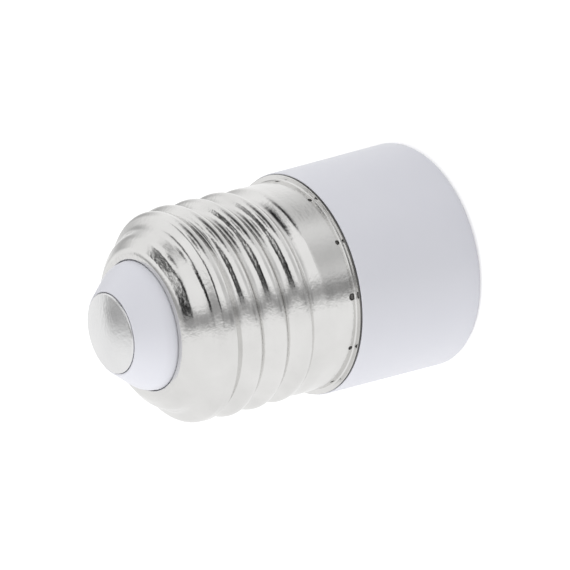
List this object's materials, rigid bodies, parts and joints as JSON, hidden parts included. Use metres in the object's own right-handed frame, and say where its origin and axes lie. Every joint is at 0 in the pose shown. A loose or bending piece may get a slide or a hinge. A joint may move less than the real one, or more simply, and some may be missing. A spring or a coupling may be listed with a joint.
{
  "type": "lamp socket adapter",
  "caption": "Screw-in lamp socket adapter: plated large screw cap with a domed centre contact, white moulded head with a small screw socket in its open end.",
  "frame": {"origin": "centre of the open rim's flat face, on which the adapter stands", "axes": "+Z along the axis from the open rim to the centre contact; +X and +Y square to it, with the inner shell's tongues on +Y and -Y"},
  "size_m": [0.028, 0.028, 0.0451],
  "materials": {
    "white_moulding": "satin moulded white plastic, faintly cool",
    "plated_shell": "bright nickel plating over rolled sheet with fine drawing lines",
    "socket_shell": "nickel-plated brass sheet",
    "contact_metal": "satin nickel-plated brass",
    "spring_metal": "bare spring brass"
  },
  "bodies": {
    "root": {"insulating_body": "white_moulding", "outer_screw_shell": "plated_shell", "inner_screw_shell": "socket_shell", "centre_contact_rivet": "contact_metal", "contact_spring": "spring_metal"}
  },
  "joints": []
}
